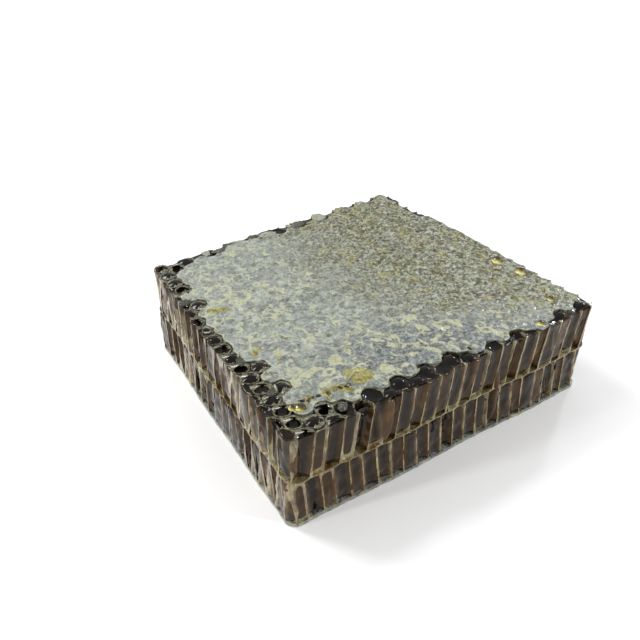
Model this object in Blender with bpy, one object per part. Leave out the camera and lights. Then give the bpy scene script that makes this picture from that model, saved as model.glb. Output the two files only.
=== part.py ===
"""A piece of capped honeycomb, cut from the comb with a knife.

Two layers of hexagonal cells stand back to back on a wax midrib. Wax cappings close the cells above
and below. Along the cut sides and the ragged upper margin the cells are open and show their honey.
The piece lies flat: +Z is up, and the origin is under the middle of its bounding box, at its base.
Blender 4.5, metres. Run with: blender --background --python part.py
"""

import math

import bmesh
import bpy
from mathutils import Euler, Matrix, Vector, noise

MM = 0.001

# The cut outline: its four corners seen from above, and how far the knife wandered.
FRONT_CORNER = Vector((-55.0, -45.9)) * MM
RIGHT_CORNER = Vector((53.5, -46.9)) * MM
BACK_CORNER = Vector((48.5, 48.5)) * MM
LEFT_CORNER = Vector((-47.5, 48.0)) * MM
CORNER_RADIUS = 3.5 * MM
CORNER_STEPS = 3
EDGE_STEPS = 6
KNIFE_WANDER = 0.7 * MM
KNIFE_WAVE = 30.0 * MM

# The cells: worker size, touching in straight rows along Y, leaning towards +X at their mouths.
CELL_PITCH = 5.15 * MM
CELL_ANCHOR = Vector((-4.85, -45.0)) * MM
WALL = 0.5 * MM
LEAN = math.radians(6.0)
LATTICE_REACH = 24

# Levels, from the base up.
UNDER_CELLS_LOW = 1.8 * MM
UNDER_CELLS_HIGH = 15.4 * MM
UPPER_CELLS_LOW = 16.6 * MM
UPPER_CELLS_HIGH = 29.8 * MM
WALL_RIM = 31.0 * MM
CAPPING_LOW = 30.4 * MM
CAPPING_NET = 31.4 * MM
CAPPING_DOME = 0.35 * MM
CAPPING_UNEVEN = 0.3 * MM
CAPPING_SET_BACK = 0.15 * MM

# The honey: its gap to the wax, how far it lies behind the cut and below the open cells' rims.
GAP = 0.3 * MM
HONEY_SET_BACK = 0.45 * MM
CORE_SET_BACK = 1.2 * MM
HONEY_DIP = 0.5 * MM
HONEY_DIP_SPREAD = 0.9 * MM

# The margin of open cells along each side: its width at the side's two ends, and how ragged it is.
OPEN_MARGINS = (
    (4.9 * MM, 2.9 * MM, 0.6 * MM),
    (1.0 * MM, 1.0 * MM, 0.3 * MM),
    (1.5 * MM, 3.9 * MM, 1.6 * MM),
    (4.0 * MM, 4.6 * MM, 1.6 * MM),
)
RAGGED_WAVE = 7.0 * MM

# Places where more of the capping is torn away: centre and radius.
TORN = (
    (Vector((-47.5, -15.0)) * MM, 4.2 * MM),
    (Vector((-48.5, -27.5)) * MM, 4.0 * MM),
    (Vector((-47.5, 21.5)) * MM, 3.8 * MM),
    (Vector((-43.0, 46.0)) * MM, 5.0 * MM),
    (Vector((-42.0, -45.0)) * MM, 5.5 * MM),
    (Vector((-24.0, 47.0)) * MM, 4.4 * MM),
)
CAPPED_DEPTH = 0.8 * MM
LEAST_SHOWING = -2.0 * MM

# Drops and wet blisters on the capping: place, radius, height.
DROPS = (
    (Vector((46.8, -12.4)) * MM, 1.25 * MM, 0.9 * MM),
    (Vector((47.4, -21.6)) * MM, 1.1 * MM, 0.8 * MM),
    (Vector((43.1, -37.7)) * MM, 0.95 * MM, 0.7 * MM),
    (Vector((-24.2, -33.6)) * MM, 4.4 * MM, 0.75 * MM),
    (Vector((-40.2, -36.6)) * MM, 2.2 * MM, 0.7 * MM),
)
DROP_SEGMENTS = 9
DROP_RINGS = 5

# Loose flakes of capping along the ragged edges: place, radius, turn, tilt.
FLAKES = (
    (Vector((-9.5, 44.6)) * MM, 2.4 * MM, 0.4, 0.16),
    (Vector((-1.8, 44.8)) * MM, 2.0 * MM, 1.1, -0.18),
    (Vector((-17.0, 44.0)) * MM, 2.6 * MM, 2.0, 0.12),
    (Vector((15.0, 44.8)) * MM, 2.2 * MM, 0.9, 0.15),
    (Vector((-48.0, -26.0)) * MM, 2.0 * MM, 0.2, -0.14),
)
FLAKE_THICKNESS = 0.5 * MM
FLAKE_LEVEL = 31.4 * MM

BEYOND = 5.0 * MM
WELD = 0.01 * MM
SNAP = 0.002 * MM
FLAT_ANGLE = math.radians(0.4)


class Layer:
    """One layer of cells: where its axes stand at the midrib, and the levels that it spans."""

    def __init__(self, anchor, low, high, lean_sign):
        self.anchor = anchor
        self.low = low
        self.high = high
        self.slope = lean_sign * math.tan(LEAN)

    def centre(self, cell, level):
        """The centre of a cell at a level, following its lean."""
        middle = (UNDER_CELLS_HIGH + UPPER_CELLS_LOW) / 2.0
        return Vector((cell.x + self.slope * (level - middle), cell.y))

    def cells(self):
        """Every cell of the lattice, by its centre at the midrib."""
        found = []
        for column in range(-LATTICE_REACH, LATTICE_REACH + 1):
            for row in range(-LATTICE_REACH, LATTICE_REACH + 1):
                x = self.anchor.x + column * CELL_PITCH * math.sqrt(3.0) / 2.0
                y = self.anchor.y + (row + 0.5 * (column % 2)) * CELL_PITCH
                found.append(Vector((x, y)))
        return found


def make_layers():
    """The upper layer, whose mouths fit the anchor, and the one below it, a third of a cell off."""
    middle = (UNDER_CELLS_HIGH + UPPER_CELLS_LOW) / 2.0
    upper_anchor = CELL_ANCHOR - Vector((math.tan(LEAN) * (WALL_RIM - middle), 0.0))
    under_anchor = upper_anchor + Vector((CELL_PITCH / math.sqrt(3.0), 0.0))
    upper = Layer(upper_anchor, UPPER_CELLS_LOW, UPPER_CELLS_HIGH, 1.0)
    under = Layer(under_anchor, UNDER_CELLS_LOW, UNDER_CELLS_HIGH, -1.0)
    return upper, under


def cut_corners():
    """The outline's corners, counterclockwise from the front one."""
    return [FRONT_CORNER, RIGHT_CORNER, BACK_CORNER, LEFT_CORNER]


def sides():
    """Each cut side as its start, its unit direction and its length."""
    corners = cut_corners()
    found = []
    for i, start in enumerate(corners):
        run = corners[(i + 1) % len(corners)] - start
        found.append((start, run.normalized(), run.length))
    return found


def knife_wander(point):
    """How far the knife strayed outwards near a point."""
    return KNIFE_WANDER * noise.noise(Vector((point.x, point.y, 0.0)) / KNIFE_WAVE)


def outline(inset=0.0):
    """The cut outline moved inwards by inset: wavering sides and round corners."""
    edges = sides()
    points = []
    for i, (start, ahead, length) in enumerate(edges):
        back = edges[i - 1][1]
        half_turn = back.angle(ahead) / 2.0
        radius = CORNER_RADIUS - inset
        reach = CORNER_RADIUS * math.tan(half_turn)
        centre = start - back * reach + Vector((-back.y, back.x)) * CORNER_RADIUS
        first = math.atan2(-back.x, back.y)
        for step in range(CORNER_STEPS + 1):
            angle = first + 2.0 * half_turn * step / CORNER_STEPS
            points.append(centre + radius * Vector((math.cos(angle), math.sin(angle))))
        outward = Vector((ahead.y, -ahead.x))
        for step in range(1, EDGE_STEPS):
            along = reach + (length - 2.0 * reach) * step / EDGE_STEPS
            base = start + ahead * along
            points.append(base + outward * (knife_wander(base) - inset))
    return points


def depth_inside(point):
    """How far a point lies inside the nearest cut side, negative outside."""
    depths = []
    for start, ahead, length in sides():
        outward = Vector((ahead.y, -ahead.x))
        depths.append(knife_wander(point) - (point - start).dot(outward))
    return min(depths)


def is_capped(mouth):
    """Whether the cell with this mouth still has its capping."""
    if depth_inside(mouth) < CAPPED_DEPTH:
        return False
    if any((mouth - centre).length < radius for centre, radius in TORN):
        return False
    for (start, ahead, length), (first, last, ragged) in zip(sides(), OPEN_MARGINS):
        outward = Vector((ahead.y, -ahead.x))
        depth = -(mouth - start).dot(outward)
        along = (mouth - start).dot(ahead) / length
        rough = noise.noise(Vector((mouth.x, mouth.y, CELL_PITCH)) / RAGGED_WAVE)
        if depth < first + (last - first) * along + ragged * rough:
            return False
    return True


def sort_cells(layer):
    """The cells that show: open at the top, or only cut at a side."""
    open_cells = []
    cut_cells = []
    for cell in layer.cells():
        depths = [depth_inside(layer.centre(cell, level)) for level in (layer.low, layer.high)]
        if max(depths) < LEAST_SHOWING:
            continue
        mouth = layer.centre(cell, WALL_RIM)
        if layer.slope > 0.0 and not is_capped(mouth):
            open_cells.append(cell)
        elif min(depths) < CELL_PITCH / math.sqrt(3.0):
            cut_cells.append(cell)
    return open_cells, cut_cells


def new_object(name, mesh_builder, collection):
    """An object in the collection whose mesh is what the builder leaves in a bmesh."""
    bm = bmesh.new()
    mesh_builder(bm)
    mesh = bpy.data.meshes.new(name)
    bm.to_mesh(mesh)
    bm.free()
    made = bpy.data.objects.new(name, mesh)
    collection.objects.link(made)
    return made


def outline_solid(name, inset, low, high, collection):
    """A flat-cut solid: the outline moved inwards, from one level to another."""
    curve = bpy.data.curves.new(name, "CURVE")
    curve.dimensions = "2D"
    curve.fill_mode = "BOTH"
    curve.extrude = (high - low) / 2.0
    spline = curve.splines.new("POLY")
    points = outline(inset)
    spline.points.add(len(points) - 1)
    for slot, point in zip(spline.points, points):
        slot.co = (point.x, point.y, 0.0, 1.0)
    spline.use_cyclic_u = True
    guide = bpy.data.objects.new(name + "_curve", curve)
    guide.location.z = (low + high) / 2.0
    collection.objects.link(guide)
    bpy.context.view_layer.update()
    graph = bpy.context.evaluated_depsgraph_get()
    mesh = bpy.data.meshes.new_from_object(guide.evaluated_get(graph))
    mesh.transform(guide.matrix_world)
    bpy.data.objects.remove(guide)
    bm = bmesh.new()
    bm.from_mesh(mesh)
    bmesh.ops.remove_doubles(bm, verts=bm.verts, dist=WELD)
    bmesh.ops.recalc_face_normals(bm, faces=bm.faces)
    bm.to_mesh(mesh)
    bm.free()
    made = bpy.data.objects.new(name, mesh)
    collection.objects.link(made)
    return made


def add_prism(bm, layer, cell, half_width, low, high):
    """A closed six-sided prism along a cell's leaning axis."""
    radius = half_width * 2.0 / math.sqrt(3.0)
    turned = Matrix.Rotation(math.radians(30.0), 4, "Z")
    made = bmesh.ops.create_cone(
        bm, cap_ends=True, segments=6, radius1=radius, radius2=radius, depth=high - low, matrix=turned
    )
    for vert in made["verts"]:
        level = vert.co.z + (low + high) / 2.0
        centre = layer.centre(cell, level)
        vert.co = Vector((vert.co.x + centre.x, vert.co.y + centre.y, level))


def cell_hash(cell):
    """A steady number between 0 and 1 for each cell."""
    return 0.5 + 0.5 * noise.noise(Vector((cell.x, cell.y, 0.0)) * 977.0)


def pockets(layer, collection):
    """The hollows that the showing cells leave in the wax."""
    open_cells, cut_cells = sort_cells(layer)
    half_width = (CELL_PITCH - WALL) / 2.0

    def build(bm):
        for cell in open_cells:
            add_prism(bm, layer, cell, half_width, layer.low, WALL_RIM + BEYOND)
        for cell in cut_cells:
            add_prism(bm, layer, cell, half_width, layer.low, layer.high)

    return new_object("pockets", build, collection)


def honey_columns(layer, collection):
    """The honey standing in the showing cells, each a little lower than its rim."""
    open_cells, cut_cells = sort_cells(layer)
    half_width = (CELL_PITCH - WALL) / 2.0 - GAP

    def build(bm):
        for cell in open_cells:
            top = WALL_RIM - HONEY_DIP - HONEY_DIP_SPREAD * cell_hash(cell)
            add_prism(bm, layer, cell, half_width, layer.low + GAP, top)
        for cell in cut_cells:
            add_prism(bm, layer, cell, half_width, layer.low + GAP, layer.high - GAP)

    return new_object("columns", build, collection)


def capping_sheet(layer, collection):
    """The wax cappings: one low dome for each capped cell, joined at their edges and cut by the knife."""
    mouths = []
    for cell in layer.cells():
        mouth = layer.centre(cell, WALL_RIM)
        if is_capped(mouth):
            mouths.append(mouth)

    def build(bm):
        radius = CELL_PITCH / math.sqrt(3.0)
        for mouth in mouths:
            place = Matrix.Translation((mouth.x, mouth.y, 0.0)) @ Matrix.Rotation(
                math.radians(30.0), 4, "Z"
            )
            bmesh.ops.create_cone(
                bm, segments=6, radius1=radius, radius2=0.0, depth=2.0 * MM, matrix=place
            )
        bmesh.ops.remove_doubles(bm, verts=bm.verts, dist=WELD)
        for vert in bm.verts:
            is_apex = vert.co.z > 0.0
            uneven = CAPPING_UNEVEN * noise.noise(vert.co / CELL_PITCH * 0.8)
            vert.co.z = CAPPING_NET + uneven
            if is_apex:
                vert.co.z += CAPPING_DOME * (2.0 * cell_hash(vert.co.xy) - 0.6)
        bmesh.ops.recalc_face_normals(bm, faces=bm.faces)
        under = bmesh.ops.extrude_face_region(bm, geom=bm.faces[:], use_keep_orig=True)
        for item in under["geom"]:
            if isinstance(item, bmesh.types.BMVert):
                item.co.z = CAPPING_LOW
        bmesh.ops.recalc_face_normals(bm, faces=bm.faces)

    capping = new_object("capping", build, collection)
    knife = outline_solid("knife", CAPPING_SET_BACK, CAPPING_LOW - BEYOND, CAPPING_NET + BEYOND, collection)
    combine(capping, "INTERSECT", other=knife)
    return capping


def drop(place, radius, height, collection):
    """A low round drop that sits in the capping."""

    def build(bm):
        bmesh.ops.create_uvsphere(bm, u_segments=DROP_SEGMENTS, v_segments=DROP_RINGS, radius=1.0)
        bmesh.ops.scale(bm, verts=bm.verts, vec=(radius, radius, height))
        bmesh.ops.translate(bm, verts=bm.verts, vec=(place.x, place.y, CAPPING_NET))

    return new_object("drop", build, collection)


def flake(place, radius, turn, tilt, collection):
    """A thin loose flake of capping, lifted at one end."""

    def build(bm):
        turned = Matrix.Translation((place.x, place.y, FLAKE_LEVEL)) @ Euler(
            (tilt, 0.0, turn)
        ).to_matrix().to_4x4()
        bmesh.ops.create_cone(
            bm, cap_ends=True, segments=7, radius1=radius, radius2=radius * 0.9,
            depth=FLAKE_THICKNESS, matrix=turned,
        )

    return new_object("flake", build, collection)


def combine(base, operation, other=None, group=None):
    """Apply one Boolean to the base, with an object or a collection, and remove what it used."""
    modifier = base.modifiers.new("combine", "BOOLEAN")
    modifier.operation = operation
    modifier.solver = "MANIFOLD"
    used = [other]
    if group is None:
        modifier.object = other
    else:
        modifier.operand_type = "COLLECTION"
        modifier.collection = group
        used = list(group.objects)
    bpy.context.view_layer.update()
    graph = bpy.context.evaluated_depsgraph_get()
    mesh = bpy.data.meshes.new_from_object(base.evaluated_get(graph))
    base.modifiers.clear()
    base.data = mesh
    for item in used:
        bpy.data.objects.remove(item)


def islands(bm):
    """The separate bodies of a mesh, as lists of vertices."""
    seen = set()
    found = []
    for seed in bm.verts:
        if seed in seen:
            continue
        body = [seed]
        seen.add(seed)
        for vert in body:
            for edge in vert.link_edges:
                neighbour = edge.other_vert(vert)
                if neighbour not in seen:
                    seen.add(neighbour)
                    body.append(neighbour)
        found.append(body)
    return found


def drop_scraps(made):
    """Keep the largest body of an object and drop the loose scraps that the cuts left."""
    bm = bmesh.new()
    bm.from_mesh(made.data)
    bmesh.ops.remove_doubles(bm, verts=bm.verts, dist=SNAP)
    bmesh.ops.dissolve_limit(bm, angle_limit=FLAT_ANGLE, verts=bm.verts[:], edges=bm.edges[:])
    bmesh.ops.triangulate(bm, faces=bm.faces[:])
    bodies = sorted(islands(bm), key=len, reverse=True)
    for body in bodies[1:]:
        bmesh.ops.delete(bm, geom=body, context="VERTS")
    bm.to_mesh(made.data)
    bm.free()


def make_material(name, colour, roughness):
    """A plain material for a sub-part."""
    material = bpy.data.materials.new(name)
    material.use_nodes = True
    shader = material.node_tree.nodes["Principled BSDF"]
    shader.inputs["Base Color"].default_value = (*colour, 1.0)
    shader.inputs["Roughness"].default_value = roughness
    shader.inputs["Metallic"].default_value = 0.0
    material.diffuse_color = (*colour, 1.0)
    return material


def make_wax(upper, under, parts, shapers):
    """The wax: cappings, midrib and cell walls, open where the cells show."""
    wax = outline_solid("comb_wax", 0.0, 0.0, WALL_RIM, parts)
    for layer in (upper, under):
        inset = CORE_SET_BACK - GAP
        core = outline_solid("core", inset, layer.low, layer.high, shapers)
        combine(core, "UNION", other=pockets(layer, shapers))
        combine(wax, "DIFFERENCE", other=core)
    additions = bpy.data.collections.new("additions")
    bpy.context.scene.collection.children.link(additions)
    capping_sheet(upper, additions)
    for place, radius, height in DROPS:
        drop(place, radius, height, additions)
    for place, radius, turn, tilt in FLAKES:
        flake(place, radius, turn, tilt, additions)
    combine(wax, "UNION", group=additions)
    bpy.data.collections.remove(additions)
    drop_scraps(wax)
    wax.data.materials.clear()
    wax.data.materials.append(make_material("wax", (0.52, 0.49, 0.37), 0.35))
    return wax


def make_honey(name, layer, parts, shapers):
    """The honey of one layer: it runs through the comb and fills the cells that show."""
    honey = outline_solid(name, CORE_SET_BACK, layer.low + GAP, layer.high - GAP, parts)
    columns = honey_columns(layer, shapers)
    bounds = outline_solid("bounds", HONEY_SET_BACK, 0.0, WALL_RIM, shapers)
    combine(columns, "INTERSECT", other=bounds)
    combine(honey, "UNION", other=columns)
    drop_scraps(honey)
    honey.data.materials.clear()
    honey.data.materials.append(make_material(name, (0.10, 0.04, 0.012), 0.08))
    return honey


def centre_on_origin(pieces, measured):
    """Move all pieces so that the measured one's box is centred over the origin."""
    xs = [vert.co.x for vert in measured.data.vertices]
    ys = [vert.co.y for vert in measured.data.vertices]
    move = Vector((-(min(xs) + max(xs)) / 2.0, -(min(ys) + max(ys)) / 2.0, 0.0))
    for piece in pieces:
        piece.data.transform(Matrix.Translation(move))
    print("moved to the origin by", tuple(round(part / MM, 3) for part in move), "mm")


def build():
    """Make the honeycomb piece."""
    for old in list(bpy.data.objects):
        bpy.data.objects.remove(old)
    parts = bpy.data.collections.new("honeycomb_piece")
    shapers = bpy.data.collections.new("shapers")
    bpy.context.scene.collection.children.link(parts)
    bpy.context.scene.collection.children.link(shapers)
    upper, under = make_layers()
    wax = make_wax(upper, under, parts, shapers)
    honey_upper = make_honey("honey_upper", upper, parts, shapers)
    honey_under = make_honey("honey_under", under, parts, shapers)
    centre_on_origin((wax, honey_upper, honey_under), wax)


build()
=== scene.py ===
"""The looks of a piece of capped honeycomb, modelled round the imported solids."""

import math

import bpy
import numpy as np
from mathutils import Matrix, Vector, geometry, noise


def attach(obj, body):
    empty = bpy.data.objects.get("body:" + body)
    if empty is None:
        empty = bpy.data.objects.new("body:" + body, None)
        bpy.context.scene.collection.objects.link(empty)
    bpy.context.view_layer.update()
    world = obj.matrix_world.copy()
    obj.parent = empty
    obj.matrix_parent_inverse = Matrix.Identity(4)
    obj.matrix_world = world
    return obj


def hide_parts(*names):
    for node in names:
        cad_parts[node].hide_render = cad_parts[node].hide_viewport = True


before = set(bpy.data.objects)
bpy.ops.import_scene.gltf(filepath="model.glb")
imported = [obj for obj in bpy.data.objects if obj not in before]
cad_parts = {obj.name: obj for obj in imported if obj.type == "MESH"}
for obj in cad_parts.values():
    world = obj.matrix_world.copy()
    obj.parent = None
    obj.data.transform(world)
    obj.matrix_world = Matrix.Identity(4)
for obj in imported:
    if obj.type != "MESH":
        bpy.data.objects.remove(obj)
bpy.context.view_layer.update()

MM = 0.001

# The cut outline and the lattice of cells, in the drawing's own place: ORIGIN_MOVE brings both to the
# frame's origin.
CORNERS = np.array(((-55.0, -45.9), (53.5, -46.9), (48.5, 48.5), (-47.5, 48.0))) * MM
CORNER_RADIUS = 3.5 * MM
KNIFE_WANDER = 0.7 * MM
KNIFE_WAVE = 30.0 * MM
CELL_PITCH = 5.15 * MM
CELL_RADIUS = CELL_PITCH / math.sqrt(3.0)
COLUMN_STEP = CELL_PITCH * math.sqrt(3.0) / 2.0
CELL_ANCHOR = np.array((-4.85, -45.0)) * MM
LEAN = math.radians(6.0)
LATTICE_REACH = 24

# Levels, from the base up.
UNDER_CELLS_LOW = 1.8 * MM
UNDER_CELLS_HIGH = 15.4 * MM
UPPER_CELLS_LOW = 16.6 * MM
UPPER_CELLS_HIGH = 29.8 * MM
MIDDLE = (UNDER_CELLS_HIGH + UPPER_CELLS_LOW) / 2.0
WALL_RIM = 31.0 * MM
CAPPING_NET = 31.4 * MM
MIDRIB = 0.7 * MM
UPPER_ENDS = (MIDDLE + MIDRIB / 2.0, WALL_RIM + 1.0 * MM)
UNDER_ENDS = (1.2 * MM, MIDDLE - MIDRIB / 2.0)

# The margin of open cells along each side, and the places where more capping is torn away.
OPEN_MARGINS = ((4.9, 2.9, 0.6), (1.0, 1.0, 0.3), (1.5, 3.9, 1.6), (4.0, 4.6, 1.6))
RAGGED_WAVE = 7.0 * MM
CAPPED_DEPTH = 0.8 * MM
LEAST_SHOWING = -2.1 * MM
TORN = (
    (-47.5, -15.0, 4.2), (-48.5, -27.5, 4.0), (-47.5, 21.5, 3.8),
    (-43.0, 46.0, 5.0), (-42.0, -45.0, 5.5), (-24.0, 47.0, 4.4),
)

# Places in the open margins where a few cells kept their lids.
KEPT_LIDS = ((31.5, -44.7, 3.2),)

# Places along the back where the cells' lids came loose and lie on them.
LOOSE_LIDS = (
    (-5.4, 46.4, 3.4), (16.8, 46.8, 3.0), (7.0, 46.8, 2.6), (-12.4, 46.8, 3.2), (-21.5, 46.6, 3.0),
)

# The fine forms of the cells and their walls.
WALL = 0.38 * MM
HEX_SOFTNESS = 14.0
PRISM_SIDES = 24
PRISM_ROW = 1.75 * MM
BASE_POINT = 0.6 * MM
WALL_WAVER = 0.13 * MM
CELL_BEND = 0.3 * MM
BEND_WAVE = 9.0 * MM
SIDE_STEP = 0.7 * MM
SIDE_ROUGH = 0.16 * MM
RIM_ROUGH = 0.45 * MM
RIM_PARTS = 4

# The capping: how fine its sheet is, how thick, and how ragged its margin along each side.
SHEET_PARTS = 8
LIP = 0.55 * MM
SHARE_REACH = 1.2 * MM
RAGGEDNESS = (0.27, 0.07, 0.3, 0.34)
KNIFE_TRIM = 0.12 * MM

# The honey: how fine its skin is, how far a run stands proud, the reach that it is scaled over, the
# rounding of its top edge, and how far in its fine top reaches.
HONEY_STEP = 0.42 * MM
FILM_PROUD = 0.22 * MM
HALF_REACH = 47.5 * MM
TOP_ROUNDING = 1.0 * MM
FINE_TOP = 13.0 * MM

# Loose lids: the level that they lie at, their thickness, and their rings and spokes of points.
LID_LEVEL = 31.42 * MM
LID_THICKNESS = 0.28 * MM
LID_RINGS = 7
LID_SPOKES = 30

# Flat directions as the camera sees them.
TO_CAMERA = np.array((-0.53, -0.85))
SCREEN_LEFT = np.array((-0.85, 0.53))


def noise_at(points, wave, offset=0.0):
    """Smooth noise between about -1 and 1 at each point, features about one wave long."""
    scaled = np.asarray(points) / wave + offset
    if scaled.shape[1] == 2:
        scaled = np.column_stack((scaled, np.full(len(scaled), offset)))
    return np.array([noise.noise(Vector(p)) for p in scaled.tolist()])


def steady(points, offset=0.0):
    """A steady number between 0 and 1 for each point, unlike its neighbours'."""
    raw = np.sin(np.asarray(points)[:, 0] / MM * 12.9898 + np.asarray(points)[:, 1] / MM * 78.233 + offset)
    return np.mod(np.abs(raw) * 43758.5453, 1.0)


def smooth(values, low, high):
    """A smooth step from 0 at low to 1 at high."""
    t = np.clip((values - low) / (high - low), 0.0, 1.0)
    return t * t * (3.0 - 2.0 * t)


def mix(first, second, share):
    """From first at a share of 0 to second at 1."""
    return first + (second - first) * share


def heading(angle):
    """The flat direction at an angle."""
    return np.array((math.cos(angle), math.sin(angle)))


def turned(local, turn):
    """A flat step turned by an angle."""
    return local[0] * heading(turn) + local[1] * heading(turn + math.pi / 2.0)


def within(points, spots):
    """Whether each flat point lies in one of the round spots, given in millimetres."""
    found = np.zeros(len(points), bool)
    for x, y, radius in spots:
        found |= np.linalg.norm(points - np.array((x, y)) * MM, axis=1) < radius * MM
    return found


def bend(points):
    """How far the whole comb bends sideways near each 3-D point."""
    across = noise_at(points, BEND_WAVE, 21.0)
    along = noise_at(points, BEND_WAVE, 33.0)
    return CELL_BEND * np.column_stack((across, along))


def at_level(flat, level):
    """Flat points lifted to a level."""
    return np.column_stack((flat, np.full(len(flat), level)))


def side_frames():
    """Each cut side's start, direction, outward normal and length."""
    found = []
    for i in range(len(CORNERS)):
        start = CORNERS[i]
        run = CORNERS[(i + 1) % len(CORNERS)] - start
        length = np.linalg.norm(run)
        ahead = run / length
        found.append((start, ahead, np.array((ahead[1], -ahead[0])), length))
    return found


SIDES = side_frames()


def knife_wander(points):
    """How far the knife strayed outwards near each point."""
    return KNIFE_WANDER * noise_at(at_level(points, 0.0), KNIFE_WAVE)


def outline(step):
    """Points round the cut outline and their outward normals, about one step apart."""
    points = []
    normals = []
    for i, (start, ahead, outward, length) in enumerate(SIDES):
        back = SIDES[i - 1][1]
        half_turn = math.acos(float(np.clip(back @ ahead, -1.0, 1.0))) / 2.0
        reach = CORNER_RADIUS * math.tan(half_turn)
        centre = start - back * reach + np.array((-back[1], back[0])) * CORNER_RADIUS
        first = math.atan2(-back[0], back[1])
        turns = max(3, int(round(2.0 * half_turn * CORNER_RADIUS / step)))
        for k in range(turns + 1):
            normal = heading(first + 2.0 * half_turn * k / turns)
            points.append(centre + CORNER_RADIUS * normal)
            normals.append(normal)
        straight = length - 2.0 * reach
        count = max(2, int(round(straight / step)))
        for k in range(1, count):
            along = reach + straight * k / count
            base = start + ahead * along
            fade = min(1.0, (k / count) * 12.0, (1.0 - k / count) * 12.0)
            points.append(base + outward * fade * knife_wander(base[None])[0])
            normals.append(outward)
    return np.array(points), np.array(normals)


def depth_inside(points):
    """How far each point lies inside the nearest cut side, negative outside."""
    wander = knife_wander(points)
    depths = [wander - (points - start) @ outward for start, ahead, outward, length in SIDES]
    return np.min(depths, axis=0)


def is_capped(mouths):
    """Whether the cells with these mouths still have their cappings."""
    kept = depth_inside(mouths) >= CAPPED_DEPTH
    kept &= ~within(mouths, TORN)
    rough = noise_at(at_level(mouths, CELL_PITCH), RAGGED_WAVE)
    for (start, ahead, outward, length), (first, last, ragged) in zip(SIDES, OPEN_MARGINS):
        depth = -(mouths - start) @ outward
        along = (mouths - start) @ ahead / length
        kept &= depth >= (first + (last - first) * along + ragged * rough) * MM
    return kept


class Layer:
    """One layer of cells: the lattice at the midrib, and the levels that it spans."""

    def __init__(self, anchor, low, high, lean_sign):
        self.anchor = anchor
        self.low = low
        self.high = high
        self.slope = lean_sign * math.tan(LEAN)
        self.ends = UPPER_ENDS if low > MIDDLE else UNDER_ENDS

    def slide(self, levels):
        """How far the cells have leaned over at these levels."""
        return self.slope * (levels - MIDDLE)

    def cells(self):
        """The centre of every cell at the midrib."""
        steps = np.arange(-LATTICE_REACH, LATTICE_REACH + 1)
        column, row = [grid.ravel() for grid in np.meshgrid(steps, steps, indexing="ij")]
        return self.anchor + np.column_stack((column * COLUMN_STEP, (row + 0.5 * (column % 2)) * CELL_PITCH))

    def centres(self, cells, level):
        """The cells' centres at a level."""
        return cells + np.array((self.slide(level), 0.0))

    def locate(self, flat):
        """The cell round each unbent, unleaned flat point, the offset from its centre, and its number."""
        column = np.round((flat[:, 0] - self.anchor[0]) / COLUMN_STEP)
        best = np.full(len(flat), np.inf)
        cell = np.zeros((len(flat), 2))
        number = np.zeros(len(flat), int)
        for shift in (-1.0, 0.0, 1.0):
            c = column + shift
            half = 0.5 * np.mod(c, 2.0)
            row = np.round((flat[:, 1] - self.anchor[1]) / CELL_PITCH - half)
            centre = self.anchor + np.column_stack((c * COLUMN_STEP, (row + half) * CELL_PITCH))
            distance = np.linalg.norm(flat - centre, axis=1)
            closer = distance < best
            best = np.where(closer, distance, best)
            cell[closer] = centre[closer]
            place = (c + LATTICE_REACH) * (2 * LATTICE_REACH + 1) + row + LATTICE_REACH
            number[closer] = place[closer].astype(int)
        return cell, flat - cell, number

    def unbend(self, points):
        """The flat place at the midrib that each 3-D point would have in a straight comb."""
        flat = points[:, :2] - bend(points)
        flat[:, 0] -= self.slide(points[:, 2])
        return flat

    def find(self, points):
        """The cell that holds each 3-D point, and the point's offset from the cell's axis."""
        cell, offset, number = self.locate(self.unbend(points))
        return cell, offset


def across_flats(offsets):
    """How far each offset reaches towards the nearest flat side of its cell."""
    reach = np.zeros(len(offsets))
    for degrees in (30.0, 90.0, 150.0):
        reach = np.maximum(reach, np.abs(offsets @ heading(math.radians(degrees))))
    return reach


UPPER_ANCHOR = CELL_ANCHOR - np.array((math.tan(LEAN) * (WALL_RIM - MIDDLE), 0.0))
UPPER = Layer(UPPER_ANCHOR, UPPER_CELLS_LOW, UPPER_CELLS_HIGH, 1.0)


def settled_caps():
    """Which cells of the upper layer are capped: lone holes are filled and lone lids dropped."""
    mouths = UPPER.centres(UPPER.cells(), WALL_RIM)
    capped = is_capped(mouths)
    capped |= within(mouths, KEPT_LIDS)
    capped &= ~within(mouths, LOOSE_LIDS)
    gaps = np.linalg.norm(mouths[:, None] - mouths[None], axis=2)
    beside = (gaps > 0.5 * CELL_PITCH) & (gaps < 1.3 * CELL_PITCH)
    for turn in range(2):
        count = (beside & capped[None]).sum(axis=1)
        capped = (capped | (count >= 5)) & (count >= 2)
    return capped


CAPPED = settled_caps()
UNDER = Layer(UPPER_ANCHOR + np.array((CELL_RADIUS, 0.0)), UNDER_CELLS_LOW, UNDER_CELLS_HIGH, -1.0)


def origin_move():
    """From the drawing's place to the frame's, where the box's middle is over the origin."""
    points = outline(2.0 * MM)[0]
    return -(points.min(axis=0) + points.max(axis=0)) / 2.0


ORIGIN_MOVE = origin_move()


def sort_cells(layer):
    """The cells that show: open at the top, or only cut at a side."""
    cells = layer.cells()
    low = depth_inside(layer.centres(cells, layer.low))
    high = depth_inside(layer.centres(cells, layer.high))
    shows = np.maximum(low, high) >= LEAST_SHOWING
    opened = shows & ~CAPPED & (layer is UPPER)
    cut = shows & ~opened & (np.minimum(low, high) < CELL_RADIUS)
    return cells[opened], cells[cut]


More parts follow.
